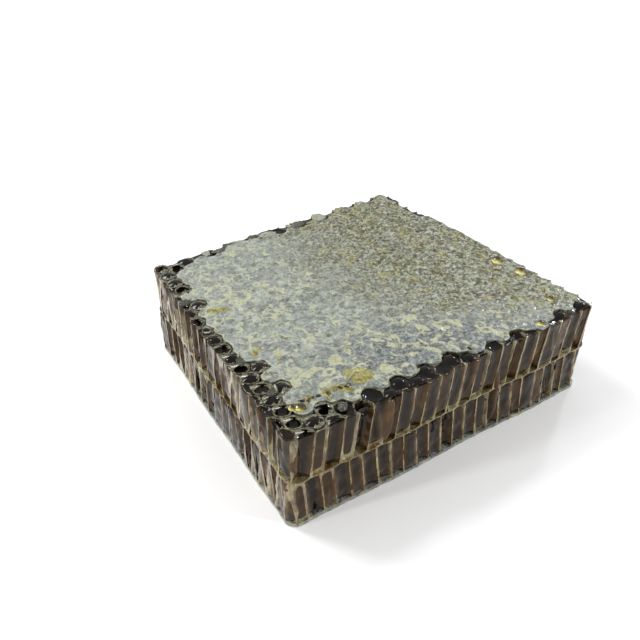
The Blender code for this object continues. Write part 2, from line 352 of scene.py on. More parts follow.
def capped_share(points):
    """How much of the comb close round each 3-D point is capped: 1 well inside, 0 outside."""
    table = CAPPED.astype(float)
    straight = UPPER.unbend(points)
    total = np.zeros(len(points))
    count = 0
    for reach, spokes in ((0.0, 1), (0.5, 6), (1.0, 10)):
        for k in range(spokes):
            shift = SHARE_REACH * reach * heading(2.0 * math.pi * k / spokes)
            number = UPPER.locate(straight + shift)[2]
            total += table[np.clip(number, 0, len(table) - 1)]
            count += 1
    return total / count


def mesh_object(name, points, faces):
    """An object from points in the drawing's place and faces of one or several corner counts."""
    moved = np.asarray(points) + np.array((ORIGIN_MOVE[0], ORIGIN_MOVE[1], 0.0))
    mesh = bpy.data.meshes.new(name)
    mesh.from_pydata(moved.tolist(), [], [tuple(int(i) for i in face) for face in faces])
    mesh.validate()
    mesh.update()
    made = bpy.data.objects.new(name, mesh)
    bpy.context.scene.collection.objects.link(made)
    return made


def shell(rings):
    """Points and faces of a closed shape through rings of points, upwards; a tip is a ring of one."""
    faces = []
    start = 0
    for lower, upper in zip(rings[:-1], rings[1:]):
        low, high = len(lower), len(upper)
        around = max(low, high)
        for i in range(around):
            j = (i + 1) % around
            corners = (start + i % low, start + j % low, start + low + j % high, start + low + i % high)
            faces.append(tuple(dict.fromkeys(corners)))
        start += low
    if len(rings[0]) > 1:
        faces.append(tuple(range(len(rings[0])))[::-1])
    if len(rings[-1]) > 1:
        faces.append(tuple(range(start, start + len(rings[-1]))))
    return np.concatenate(rings), faces


def join_shapes(name, shapes):
    """One object from several shapes, each a pair of points and faces."""
    faces = []
    start = 0
    for shape_points, shape_faces in shapes:
        faces += [tuple(i + start for i in face) for face in shape_faces]
        start += len(shape_points)
    return mesh_object(name, np.concatenate([points for points, shape_faces in shapes]), faces)


def store_marks(made, name, values):
    """Keep up to three numbers for each point of a mesh, for its material to read."""
    colours = np.ones((len(made.data.vertices), 4), np.float32)
    colours[:, :3] = 0.0
    colours[:len(values), :values.shape[1]] = values
    marks = made.data.attributes.new(name, "FLOAT_COLOR", "POINT")
    marks.data.foreach_set("color", colours.ravel())


def combine(base, operation, tool):
    """Apply one Boolean to the base and remove the tool."""
    modifier = base.modifiers.new("combine", "BOOLEAN")
    modifier.operation = operation
    modifier.solver = "MANIFOLD"
    modifier.object = tool
    bpy.context.view_layer.update()
    graph = bpy.context.evaluated_depsgraph_get()
    mesh = bpy.data.meshes.new_from_object(base.evaluated_get(graph))
    base.modifiers.clear()
    base.data = mesh
    bpy.data.objects.remove(tool)


def shade(made, angle=40.0):
    """Smooth shading with creases where faces meet at more than an angle."""
    made.data.shade_smooth()
    made.data.set_sharp_from_angle(angle=math.radians(angle))


def boundary_of(triangles, count):
    """The directed edges that only one triangle has."""
    edges = np.concatenate((triangles[:, (0, 1)], triangles[:, (1, 2)], triangles[:, (2, 0)]))
    keys = edges[:, 0].astype(np.int64) * count + edges[:, 1]
    reverse = edges[:, 1].astype(np.int64) * count + edges[:, 0]
    return edges[~np.isin(keys, reverse)]


def triangle_sheet(mouths, parts):
    """A triangulated sheet over whole cells: its flat points and triangles."""
    step = CELL_RADIUS / parts
    first = np.array((step, 0.0))
    second = np.array((step / 2.0, step * math.sqrt(3.0) / 2.0))
    origin = UPPER.centres(UPPER.anchor[None], WALL_RIM)[0]
    inverse = np.linalg.inv(np.column_stack((first, second)))
    local = []
    ring = [(1, 0), (0, 1), (-1, 1), (-1, 0), (0, -1), (1, -1)]
    for k in range(6):
        u = np.array(ring[k])
        v = np.array(ring[(k + 1) % 6])
        for a in range(parts):
            for b in range(parts - a):
                base = a * u + b * v
                local.append((base, base + u, base + v))
                if a + b < parts - 1:
                    local.append((base + u, base + u + v, base + v))
    local = np.array(local)
    centres = np.round((mouths - origin) @ inverse.T).astype(int)
    corners = (centres[:, None, None, :] + local[None]).reshape(-1, 2)
    unique, index = np.unique(corners, axis=0, return_inverse=True)
    points = origin + unique[:, :1] * first + unique[:, 1:] * second
    return points, index.reshape(-1, 3)


def drop_pinches(triangles, count):
    """Take away the triangles at points where the sheet touches itself only by a corner."""
    while True:
        starts = np.bincount(boundary_of(triangles, count)[:, 0], minlength=count)
        pinched = starts > 1
        if not pinched.any():
            return triangles
        triangles = triangles[~pinched[triangles].any(axis=1)]


def drop_small_pieces(triangles, count, least):
    """Take away the separate pieces of a sheet that have fewer triangles than the least."""
    label = np.arange(count)
    changed = True
    while changed:
        lowest = label[triangles].min(axis=1)
        new = label.copy()
        np.minimum.at(new, triangles.ravel(), np.repeat(lowest, 3))
        new = new[new]
        changed = bool((new != label).any())
        label = new
    piece = label[triangles[:, 0]]
    size = np.bincount(piece, minlength=count)
    return triangles[size[piece] >= least]


def compact(points, triangles):
    """Only the points that the triangles use."""
    used, index = np.unique(triangles, return_inverse=True)
    return points[used], index.reshape(-1, 3)


def closed_sheet(name, top, bottom, triangles):
    """A closed body between two sheets of points that share their triangles."""
    count = len(top)
    faces = [tuple(t) for t in triangles]
    faces += [tuple(t) for t in (triangles[:, ::-1] + count)]
    faces += [(b, a, a + count, b + count) for a, b in boundary_of(triangles, count)]
    return mesh_object(name, np.concatenate((top, bottom)), faces)


def boundary_loops(boundary):
    """The closed loops that the directed edges form."""
    following = {int(a): int(b) for a, b in boundary}
    loops = []
    while following:
        start, current = following.popitem()
        loop = [start]
        while current != start:
            loop.append(current)
            current = following.pop(current)
        loops.append(loop)
    return loops


def lipped_sheet(name, top, triangles, profile):
    """A closed body under a fine top sheet: a rounded lip at its margin and a plain flat bottom.

    The profile is a list of outward and upward steps from the margin's own points.
    """
    count = len(top)
    loops = boundary_loops(boundary_of(triangles, count))
    order = np.array([i for loop in loops for i in loop])
    before = np.array([loop[k - 1] for loop in loops for k in range(len(loop))])
    after = np.array([loop[(k + 1) % len(loop)] for loop in loops for k in range(len(loop))])
    run = top[after, :2] - top[before, :2]
    run /= np.maximum(np.linalg.norm(run, axis=1), 1e-9)[:, None]
    outward = np.column_stack((run[:, 1], -run[:, 0]))
    points = [top]
    for out, up in profile:
        ring = top[order].copy()
        ring[:, :2] += outward * out
        ring[:, 2] += up
        points.append(ring)
    faces = [tuple(t) for t in triangles]
    rings = [order] + [count + k * len(order) + np.arange(len(order)) for k in range(len(profile))]
    start = 0
    for loop in loops:
        for k in range(len(loop)):
            a = start + k
            b = start + (k + 1) % len(loop)
            for upper, lower in zip(rings[:-1], rings[1:]):
                faces.append((upper[b], upper[a], lower[a], lower[b]))
        start += len(loop)
    last = rings[-1]
    flat = np.concatenate(points)[last][:, :2] / MM
    polygons = []
    start = 0
    for loop in loops:
        polygons.append([Vector((x, y, 0.0)) for x, y in flat[start:start + len(loop)]])
        start += len(loop)
    for a, b, c in geometry.tessellate_polygon(polygons):
        first = flat[b] - flat[a]
        second = flat[c] - flat[a]
        turns_left = first[0] * second[1] > first[1] * second[0]
        faces.append((last[a], last[c], last[b]) if turns_left else (last[a], last[b], last[c]))
    return mesh_object(name, np.concatenate(points), faces)


def outline_solid(name, low, high):
    """The knife-cut block: fine, slightly rough sides between two levels."""
    points, normals = outline(SIDE_STEP)
    rows = []
    for level in np.linspace(low, high, int(round((high - low) / SIDE_STEP)) + 1):
        row = at_level(points, level)
        rough = noise_at(row, 2.6 * MM) + 0.5 * noise_at(row, 1.1 * MM, 5.0)
        row[:, :2] += normals * (SIDE_ROUGH * rough - 0.1 * MM)[:, None]
        rows.append(row)
    return join_shapes(name, [shell(rows)])


def prism_rings(layer, cell, half_width, low, high):
    """Rings of points up a cell's leaning, bent and slightly wavering wall."""
    angles = np.arange(PRISM_SIDES) * 2.0 * math.pi / PRISM_SIDES
    flats = np.radians((30.0, 90.0, 150.0))
    spread = np.abs(np.cos(angles[:, None] - flats[None])) ** HEX_SOFTNESS
    radius = half_width * spread.sum(axis=1) ** (-1.0 / HEX_SOFTNESS)
    around = np.column_stack((np.cos(angles), np.sin(angles)))
    levels = np.linspace(low, high, max(2, int(round((high - low) / PRISM_ROW)) + 1))
    rings = []
    for level in levels:
        centre = layer.centres(cell[None], level)
        ring = at_level(centre + around * radius[:, None], level)
        waver = WALL_WAVER * noise_at(ring, 3.0 * MM, cell[0] / MM)
        ring[:, :2] += around * waver[:, None] + bend(at_level(centre, level))
        rings.append(ring)
    return rings


def pocket_solids(layer):
    """The hollows that the showing cells leave in the wax, as one object."""
    opened, cut = sort_cells(layer)
    half_width = (CELL_PITCH - WALL) / 2.0
    low, cut_high = layer.ends
    foot_step, head_step = 0.0, BASE_POINT
    if layer is UPPER:
        cut_high = WALL_RIM
        foot_step, head_step = -BASE_POINT, 0.0
    shapes = []
    for cells, high in ((opened, WALL_RIM + 4.0 * MM), (cut, cut_high)):
        for cell in cells:
            rings = prism_rings(layer, cell, half_width, low, high)
            foot = rings[0].mean(axis=0) + np.array((0.0, 0.0, foot_step))
            head = rings[-1].mean(axis=0) + np.array((0.0, 0.0, head_step))
            shapes.append(shell([foot[None], *rings, head[None]]))
    return join_shapes("pockets", shapes)


def make_walls():
    """The cell walls and the midrib, cut by the knife and open where the cells show."""
    mouths = UPPER.centres(UPPER.cells(), WALL_RIM)
    mouths = mouths[depth_inside(mouths) > -1.5 * CELL_RADIUS]
    flat, triangles = triangle_sheet(mouths, RIM_PARTS)
    rough = noise_at(flat, 1.9 * MM, 3.0) + 0.6 * noise_at(flat, 4.5 * MM, 8.0)
    share = smooth(capped_share(at_level(flat, WALL_RIM)), 0.4, 0.9)
    wet = zones(flat)[0]
    rim = WALL_RIM - 0.3 * MM + RIM_ROUGH * rough * (1.0 - 0.75 * wet)
    top = np.column_stack((flat, mix(rim, np.full(len(flat), 30.85 * MM), share)))
    bottom = at_level(flat, 0.6 * MM)
    walls = closed_sheet("wax_walls", top, bottom, triangles)
    combine(walls, "INTERSECT", outline_solid("block", 0.2 * MM, WALL_RIM + 2.0 * MM))
    combine(walls, "DIFFERENCE", pocket_solids(UPPER))
    combine(walls, "DIFFERENCE", pocket_solids(UNDER))
    return walls


def zones(flat):
    """How far each point belongs to the bumpy wet back right and to the patched front strip."""
    across = (flat[:, 0] + 4.0 * MM) / (20.0 * MM) + 0.5 * noise_at(flat, 16.0 * MM, 4.0)
    line = -21.0 * MM - 0.62 * np.maximum(flat[:, 0] - 2.0 * MM, 0.0)
    back = (flat[:, 1] - line) / (14.0 * MM) + 0.4 * noise_at(flat, 11.0 * MM, 14.0)
    wet = smooth(across, -1.0, 1.2) * smooth(back, -0.6, 0.9)
    front = (1.0 - smooth(back, -0.7, 0.6)) * smooth(across, -2.2, -0.9)
    return wet, front


# Golden stains where honey has wetted the capping: centre, length, width and turn.
STAINS = (
    (-25.9, -34.8, 4.3, 3.4, -0.78), (-32.2, -36.7, 3.0, 1.6, -0.88), (-46.0, -36.4, 2.5, 1.9, -0.5),
    (-41.9, -34.9, 1.7, 1.2, -0.1), (-41.6, 13.2, 4.2, 1.3, -0.35), (-43.0, -10.8, 2.6, 0.9, 0.5),
    (-39.2, -16.8, 0.9, 0.7, 0.0), (-36.7, -35.9, 1.9, 1.5, 1.0),
)


# Cream patches that stand out of the marks round them: centre, length, width and turn.
PATCHES = (
    (2.3, -27.2, 2.7, 0.9, -1.35), (6.3, -30.0, 2.8, 0.8, -1.46), (11.3, -31.0, 2.7, 0.8, -1.35),
    (2.4, -21.4, 2.2, 1.3, -0.25), (25.2, -33.8, 2.2, 0.6, -0.9), (-1.9, -33.0, 2.0, 0.5, -1.42),
    (-1.6, -37.3, 1.8, 0.9, -1.28), (-17.9, -36.5, 2.2, 1.9, -0.59), (-27.1, -26.0, 2.1, 1.7, -0.59),
    (-38.2, -14.2, 1.6, 1.2, -1.26), (-36.2, -26.6, 2.4, 1.4, -0.02), (-41.7, -28.2, 2.2, 1.5, -0.35),
    (-19.6, -21.4, 1.2, 0.7, -1.13), (-10.6, -22.0, 2.3, 0.5, -1.03), (-11.9, -25.1, 2.4, 0.6, -0.91),
    (-9.9, -29.2, 1.4, 0.9, -0.98),
)

# Rings of cream wax: centre, length, width and turn.
RINGS = (
    (-37.0, 20.9, 4.4, 3.6, 0.9), (-32.6, 16.2, 3.2, 2.6, -0.6), (16.4, -38.3, 1.6, 1.3, 0.0),
    (-31.2, -29.1, 1.5, 1.2, 0.2), (-38.6, -23.8, 1.7, 1.4, -0.4),
)


def oval(flat, x, y, length, width, turn):
    """How far out of an oval each flat point lies: 0 at its middle, 1 on its line."""
    shift = flat / MM - np.array((x, y))
    along = shift[:, 0] * math.cos(turn) + shift[:, 1] * math.sin(turn)
    side = shift[:, 1] * math.cos(turn) - shift[:, 0] * math.sin(turn)
    return np.hypot(along / length, side / width)


def spotted(flat, spots, seed, ragged):
    """1 in ragged oval spots, 0 outside them."""
    rough = ragged * (noise_at(flat, 2.4 * MM, seed) + 0.5 * noise_at(flat, 0.9 * MM, seed + 2.0))
    best = np.full(len(flat), -1.0)
    for spot in spots:
        best = np.maximum(best, 1.0 - oval(flat, *spot))
    return smooth(best + rough * (best > -0.6), 0.0, 0.12)


def ringed_share(flat):
    """1 on the wavering lines of the cream rings, 0 away from them."""
    waver = 0.22 * noise_at(flat, 2.6 * MM, 95.0) + 0.1 * noise_at(flat, 1.1 * MM, 97.0)
    best = np.zeros(len(flat))
    for ring in RINGS:
        gap = np.abs(oval(flat, *ring) - 1.0 + waver) * ring[3]
        best = np.maximum(best, 1.0 - smooth(gap, 0.28, 0.62))
    return best


def golden(flat):
    """How golden the capping is at flat points: 1 in the stains, 0 outside."""
    return spotted(flat, STAINS, 85.0, 0.24)


def capping_height(points, layer):
    """The height of the capping's uneven surface above its net, at 3-D points."""
    flat = points[:, :2]
    cell, offset = layer.find(points)
    reach = across_flats(offset) / (CELL_PITCH / 2.0)
    wet = zones(flat)[0]
    lift = steady(cell, 1.7)
    dome = (1.0 - reach ** 2) * mix(0.26 * lift - 0.16, 0.36 * lift + 0.02, wet) * MM
    ridge = mix(0.12, 0.02, wet) * MM * smooth(reach, 0.72, 0.98)
    swell = 0.22 * MM * noise_at(flat, 13.0 * MM, 2.0) + 0.12 * MM * noise_at(flat, 5.5 * MM, 6.0)
    bumps = mix(0.11, 0.24, wet) * MM * noise_at(flat, 1.75 * MM, 9.0)
    fine = mix(0.05, 0.13, wet) * MM * noise_at(flat, 0.95 * MM, 4.0)
    rough = dome + ridge + bumps + fine
    glaze = 0.35 * rough + 0.24 * MM + 0.11 * MM * noise_at(flat, 1.3 * MM, 19.0)
    return swell + mix(rough, glaze, golden(flat) * (layer is UPPER))


def paint_capping(made, points, layer, edge):
    """Store where the capping shows its net, cream marks and zones."""
    flat = points[:, :2]
    warp = 0.5 * MM * np.column_stack((noise_at(flat, 1.7 * MM, 41.0), noise_at(flat, 1.7 * MM, 47.0)))
    warped = points.copy()
    warped[:, :2] += warp
    cell, offset = layer.find(warped)
    reach = across_flats(offset) / (CELL_PITCH / 2.0)
    wet, front = zones(flat)
    net = smooth(reach, 0.70, 0.97) * smooth(noise_at(flat, 5.0 * MM, 3.0), -0.45, 0.25)
    patch = noise_at(flat, 5.0 * MM, 51.0) + 0.5 * noise_at(flat, 2.1 * MM, 57.0)
    strokes = noise_at(flat, 2.3 * MM, 71.0)
    ring = np.abs(noise_at(flat, 8.5 * MM, 61.0) + 0.22 * noise_at(flat, 2.2 * MM, 67.0) - 0.14)
    ringed = (1.0 - smooth(ring, 0.012, 0.075)) * (0.6 + 0.6 * noise_at(flat, 6.0 * MM, 5.0))
    cream = np.maximum(0.72 * patch + 0.10 * front - 0.42 * wet, 1.15 * strokes - 0.05 - 0.25 * wet)
    cream = np.maximum(cream, 0.85 * ringed * (1.0 - 0.85 * wet))
    cream = np.maximum(cream, net * (0.62 * steady(cell, 9.1) * (1.0 - wet) + 0.1))
    torn = smooth(noise_at(flat, 3.0 * MM, 93.0), -0.3, 0.3)
    cream = np.maximum(cream, 0.62 * edge * torn * (1.0 - 0.4 * wet))
    if layer is UPPER:
        cream = np.maximum(cream, 0.95 * spotted(flat, PATCHES, 89.0, 0.34))
        cream = np.maximum(cream, 0.72 * ringed_share(flat))
    store_marks(made, "marks", np.column_stack((net, np.clip(cream, 0.0, 1.0), wet)))
    store_marks(made, "zones", np.column_stack((front, golden(flat) * (layer is UPPER))))


def side_share(flat, values):
    """A value for each side, blended by how close each point lies to that side."""
    weights = []
    for start, ahead, outward, length in SIDES:
        depth = np.maximum(-(flat - start) @ outward, 0.2 * MM)
        weights.append(depth ** -3.0)
    weights = np.array(weights)
    return (weights * np.array(values)[:, None]).sum(axis=0) / weights.sum(axis=0)


def make_capping():
    """The upper wax capping: uneven, with torn edges and the gloss of honey."""
    mouths = UPPER.centres(UPPER.cells(), WALL_RIM)
    capped = mouths[CAPPED]
    gaps = np.linalg.norm(mouths[:, None] - capped[None], axis=2).min(axis=1)
    flat, triangles = triangle_sheet(mouths[gaps < 1.3 * CELL_PITCH], SHEET_PARTS)
    ragged = side_share(flat, RAGGEDNESS)
    share = capped_share(at_level(flat, WALL_RIM))
    tear = noise_at(flat, 1.5 * MM, 11.0) + 0.7 * noise_at(flat, 3.4 * MM, 13.0)
    kept = share + np.maximum(ragged * tear, -0.4) > 0.5
    kept &= depth_inside(flat) > KNIFE_TRIM
    triangles = triangles[kept[triangles].all(axis=1)]
    triangles = drop_pinches(triangles, len(flat))
    triangles = drop_small_pieces(triangles, len(flat), 60)
    flat, triangles = compact(flat, triangles)
    boundary = boundary_of(triangles, len(flat))
    for turn in range(3):
        ahead = flat[boundary[:, 1]].copy()
        behind = flat[boundary[:, 0]].copy()
        flat[boundary[:, 0]] += 0.25 * (ahead - behind)
        flat[boundary[:, 1]] += 0.25 * (behind - ahead)
    edge = np.zeros(len(flat))
    edge[boundary.ravel()] = 1.0
    for turn in range(2):
        spread_edge = edge.copy()
        np.maximum.at(spread_edge, triangles.ravel(), np.repeat(0.62 * edge[triangles].max(axis=1), 3))
        edge = spread_edge
    points = at_level(flat, WALL_RIM)
    height = CAPPING_NET + capping_height(points, UPPER)
    curl = mix(0.10, -0.05, np.clip(side_share(flat, (0.5, 1.0, 0.2, 0.0)), 0.0, 1.0))
    height += edge * (curl * MM + 0.12 * MM * noise_at(flat, 2.6 * MM, 23.0) - 0.10 * MM)
    top = np.column_stack((flat, height))
    profile = ((0.07 * MM, -0.13 * MM), (0.03 * MM, -0.34 * MM), (-0.1 * MM, -LIP))
    capping = lipped_sheet("wax_capping", top, triangles, profile)
    paint_capping(capping, points, UPPER, edge)
    return capping


def make_under_capping():
    """The capping on the underside, which the piece rests on, cut flush by the knife."""
    feet = UNDER.centres(UNDER.cells(), 0.0)
    feet = feet[depth_inside(feet) > -1.5 * CELL_RADIUS]
    shift = UNDER.centres(UNDER.anchor[None], 0.0)[0] - UPPER.centres(UPPER.anchor[None], WALL_RIM)[0]
    flat, triangles = triangle_sheet(feet - shift, RIM_PARTS)
    flat = flat + shift
    points = at_level(flat, 0.0)
    height = 0.55 * MM - np.clip(capping_height(points, UNDER) + 0.25 * MM, 0.0, 0.5 * MM)
    bottom = np.column_stack((flat, height))
    top = at_level(flat, 1.3 * MM)
    under = closed_sheet("wax_under_capping", top, bottom, triangles)
    combine(under, "INTERSECT", outline_solid("block", -1.0 * MM, 3.0 * MM))
    placed = np.array([vert.co[:] for vert in under.data.vertices])
    placed[:, :2] -= ORIGIN_MOVE
    paint_capping(under, placed, UNDER, np.zeros(len(placed)))
    return under


def honey_depth(layer, points, outward):
    """How far the honey's skin lies inside the knife's cut or below the rims, cell by cell."""
    cell, offset, number = layer.locate(layer.unbend(points))
    side = outward > 0.5
    half = (CELL_PITCH - WALL) / 2.0
    room = np.clip((half - across_flats(offset)) / half, 0.0, 1.0)
    fullness = np.where(side, -0.45, 0.15) * MM + np.where(side, 1.6, 0.6) * MM * steady(cell, 2.9)
    drained = steady(cell, 0.4) > 0.88
    fullness = np.where(drained, 1.4 * MM + 1.8 * MM * steady(cell, 5.3), fullness)
    hollow = np.sqrt(1.0 - (1.0 - room) ** 2)
    ripple = noise_at(points * np.array((1.0, 1.0, 0.7)), 2.6 * MM, 3.0)
    dished = 0.2 * MM + fullness * hollow + np.where(side, 0.3, 0.14) * MM * ripple
    axis = cell + np.column_stack((layer.slide(points[:, 2]), np.zeros(len(points))))
    trough = half + depth_inside(axis)
    shallow = np.where(side, np.clip(0.5 * trough, 0.0, 5.0 * MM), 5.0 * MM)
    dished = np.minimum(dished, 0.2 * MM + shallow)
    from_end = np.minimum(points[:, 2] - layer.ends[0], layer.ends[1] - points[:, 2]) / (2.2 * MM)
    dished += np.where(side, 0.9 * MM * (1.0 - np.clip(from_end, 0.0, 1.0)) ** 2, 0.0)
    opened = ~CAPPED[np.clip(number, 0, len(CAPPED) - 1)] & (layer is UPPER)
    at_left = cell[:, 0] < -36.0 * MM
    at_front = cell[:, 1] < -30.0 * MM
    least = np.where(at_left, 0.5, np.where(at_front, 0.3, 1.0))
    bubble = opened & (steady(cell, 7.7) > least) & (trough > 3.0 * MM) & ~side
    round_top = 0.25 * MM - 0.9 * MM * room * (2.0 - room)
    return np.where(bubble, round_top, dished)


def honey_film(points, outward):
    """Where honey has run down over the cut walls: 1 inside a run, 0 outside."""
    stretched = points * np.array((1.0, 1.0, 0.3))
    run = noise_at(stretched, 5.5 * MM, 2.0) + 0.35 * noise_at(stretched, 1.8 * MM, 6.0)
    return smooth(run, 0.34, 0.72) * outward


def honey_profile(low, high, round_top):
    """The steps from the top's middle over the edge and down: inset, level, outward and upward share."""
    profile = []
    start = high
    if round_top:
        start = high - TOP_ROUNDING
        for inset in np.arange(FINE_TOP, TOP_ROUNDING + 0.2 * MM, -HONEY_STEP):
            profile.append((inset, high, 0.0, 1.0))
        for k in range(5):
            angle = math.radians(90.0 - 90.0 * k / 4.0)
            inset = TOP_ROUNDING * (1.0 - math.cos(angle))
            profile.append((inset, start + TOP_ROUNDING * math.sin(angle), math.cos(angle), math.sin(angle)))
    else:
        profile.append((4.0 * MM, high, 1.0, 0.0))
    for level in np.arange(start - HONEY_STEP, low, -HONEY_STEP):
        profile.append((0.0, level, 1.0, 0.0))
    profile.append((4.0 * MM, low, 1.0, 0.0))
    return profile


def make_honey(name, layer, low, high, round_top):
    """The honey of one layer: a block whose skin dips between the walls of each cell."""
    points, normals = outline(HONEY_STEP)
    count = len(points)
    middle = -ORIGIN_MOVE
    rows = []
    films = []
    for inset, level, outward, upward in reversed(honey_profile(low, high, round_top)):
        row = at_level(middle + (points - middle) * (1.0 - inset / HALF_REACH), level)
        depth = honey_depth(layer, row, np.full(count, outward))
        film = honey_film(row, outward) if inset < 0.5 * MM else np.zeros(count)
        reach = across_flats(layer.find(row)[1])
        by_wall = smooth(reach, 0.22 * CELL_PITCH, 0.47 * CELL_PITCH) * outward
        swollen = FILM_PROUD * (1.0 + 0.9 * noise_at(row, 2.4 * MM, 9.0))
        depth = mix(depth, -swollen, film)
        row[:, :2] -= normals * (depth * outward)[:, None]
        row[:, 2] -= depth * upward
        rows.append(row)
        films.append(np.maximum(0.8 * film, 0.1 * outward + 0.75 * by_wall))
    honey = join_shapes(name, [shell(rows)])
    store_marks(honey, "film", np.concatenate(films)[:, None])
    return honey


def dome(place, size, turn, height, sink, spokes, rings, ragged, seed, squareness):
    """Points and faces of a low closed dome on the capping, its outline ragged by noise."""
    base = capping_height(at_level(place[None], WALL_RIM), UPPER)[0] + CAPPING_NET - 0.04 * MM
    edge = []
    for i in range(spokes):
        x, y = heading(2.0 * math.pi * i / spokes)
        wobble = 1.0 + ragged * noise.noise(Vector((x * 1.3 + seed, y * 1.3, seed)))
        wobble += 0.5 * ragged * noise.noise(Vector((x * 4.0, y * 4.0 + seed, seed)))
        edge.append(turned(np.array((x, y)) * size * wobble, turn))
    edge = np.array(edge)
    circles = [at_level(place + edge, base - sink)]
    for k in range(rings, 0, -1):
        share = k / rings
        lift = height * (1.0 - share ** squareness) ** 0.5
        circles.append(at_level(place + edge * share, base + lift))
    circles.append(at_level(place[None], base + height))
    return shell(circles)


def domes(spots, height, sink, spokes, rings, ragged, seeds, squareness=2.0):
    """Domes from their centres, lengths, widths and turns; their height follows their width or is set."""
    shapes = []
    for k, (x, y, length, width, turn) in enumerate(spots):
        place = np.array((x, y)) * MM
        size = np.array((length, width)) * MM
        tall = height[k] if isinstance(height, list) else height
        seed = seeds[0] + seeds[1] * k
        shapes.append(dome(place, size, turn, tall * MM, sink * MM, spokes, rings, ragged, seed, squareness))
    return shapes


def store_painted_light(made, shapes):
    """Mark painted light on each drop: painted shade on its top, a painted caustic on its low near side."""
    values = []
    for points, faces in shapes:
        middle = (points.min(axis=0) + points.max(axis=0)) / 2.0
        reach = np.linalg.norm((points.max(axis=0) - middle)[:2]) / math.sqrt(2.0)
        # The painted caustic brightens towards the camera, downwards and to the screen's left; the top gets
        # painted shade.
        toward = (points - middle) @ np.array((*(0.6 * TO_CAMERA), -0.8)) / reach
        side = (points[:, :2] - middle[:2]) @ SCREEN_LEFT / reach
        values.append(smooth(toward + 0.42 * side, -0.4, 1.05))
    store_marks(made, "painted_light", np.concatenate(values)[:, None])


# Drops of honey: centre, radius and height.
GOLD_DROPS = (
    (46.6, -12.6, 1.85, 1.7), (47.2, -22.0, 1.7, 1.6), (43.0, -37.9, 1.25, 1.2), (31.3, -44.9, 1.4, 0.9),
    (-45.4, -36.7, 1.5, 0.8), (-47.0, -35.6, 1.1, 0.7), (-36.9, -36.2, 0.9, 0.55), (-42.6, -35.9, 0.6, 0.4),
)

# Clear blisters, dark bits and pale slivers: centre, length, width and turn.
BLISTERS = (
    (-31.1, -38.0, 1.3, 0.55, -0.9), (-34.0, -35.6, 1.0, 0.7, -0.5), (-41.6, -34.6, 1.0, 0.9, 0.3),
    (-36.3, -35.2, 0.7, 0.5, 0.4), (-43.0, 13.4, 1.0, 0.6, 0.3), (-40.2, 12.6, 0.8, 0.5, 0.1),
    (-43.4, -11.4, 0.9, 0.7, 0.9), (-24.1, -37.0, 0.9, 0.35, -0.8),
)
DARK_BITS = (
    (-30.3, -36.6, 0.95, 0.55, 0.9), (-33.1, -36.2, 1.0, 0.25, -0.7), (-31.4, -36.9, 0.6, 0.25, -0.6),
    (-39.1, -35.4, 0.7, 0.35, -0.3), (-42.3, -35.5, 0.7, 0.35, 0.2), (-43.8, -34.9, 1.0, 0.3, -0.6),
    (-40.6, -35.4, 0.5, 0.2, 0.4), (1.3, -42.0, 1.5, 0.13, -1.05), (5.9, -42.4, 1.0, 0.11, -1.37),
)
SLIVERS = (
    (-28.0, -34.2, 2.5, 0.17, 0.44), (-31.6, -35.6, 1.3, 0.3, -0.5), (-46.5, -26.8, 1.5, 0.24, 1.3),
    (-47.4, -9.2, 1.3, 0.22, 0.9), (-46.8, 3.8, 1.4, 0.24, 1.9), (17.5, -43.6, 1.6, 0.2, 0.5),
    (6.0, -44.0, 1.2, 0.2, 2.5), (-12.0, -42.0, 1.2, 0.2, 0.3), (-6.5, 43.2, 1.3, 0.24, 0.2),
)

# Loose lids: centre, length, width, turn and tilt.
PALE_LIDS = (
    (16.6, 45.6, 2.7, 2.3, 0.4, 0.10), (-5.4, 45.0, 3.1, 2.2, 0.1, -0.10), (-15.4, 44.6, 2.2, 1.9, 0.6, 0.12),
    (4.4, 45.8, 1.3, 1.0, 2.0, 0.10), (-28.6, 45.2, 1.6, 1.2, 1.4, -0.1), (-49.0, 6.0, 1.7, 1.1, 1.2, 0.12),
)
SOAKED_LIDS = (
    (7.6, 45.2, 2.7, 2.0, 0.2, -0.10), (-10.6, 45.6, 2.4, 1.6, 0.5, 0.10), (-20.6, 45.3, 2.5, 1.8, 0.3, 0.08),
    (-24.6, 44.6, 2.2, 1.5, 0.0, -0.12), (-48.4, -12.0, 1.9, 1.4, 0.8, 0.1),
    (-47.8, 22.4, 1.8, 1.2, 0.2, 0.1), (-47.8, -27.6, 2.0, 1.3, 0.4, -0.1),
    (-36.4, -42.2, 1.8, 1.3, 0.8, 0.12),
)


def make_gold_drops():
    """Clear drops of honey on the capping."""
    spots = [(x, y, radius, radius, 0.0) for x, y, radius, height in GOLD_DROPS]
    shapes = domes(spots, [drop[3] for drop in GOLD_DROPS], 0.4, 28, 9, 0.1, (0.0, 1.7))
    drops = join_shapes("honey_drops", shapes)
    store_painted_light(drops, shapes)
    return drops


def make_wet_patch():
    """Clear blisters of honey on the golden stains."""
    heights = [0.45 * blister[3] for blister in BLISTERS]
    shapes = domes(BLISTERS, heights, 0.5, 32, 9, 0.22, (3.1, 2.3), 3.0)
    patch = join_shapes("honey_patch", shapes)
    store_painted_light(patch, shapes)
    return patch


def make_dark_bits():
    """Dark brown bits of old wax, caught in the golden stains and lying as threads by the front edge."""
    return join_shapes("wax_dark_bits", domes(DARK_BITS, 0.62, 0.4, 16, 5, 0.5, (0.0, 2.3)))


def make_slivers():
    """Pale slivers of wax: a streak on the largest stain, and short curls by the margins."""
    return join_shapes("wax_slivers", domes(SLIVERS, 0.72, 0.4, 20, 5, 0.25, (0.0, 3.1)))


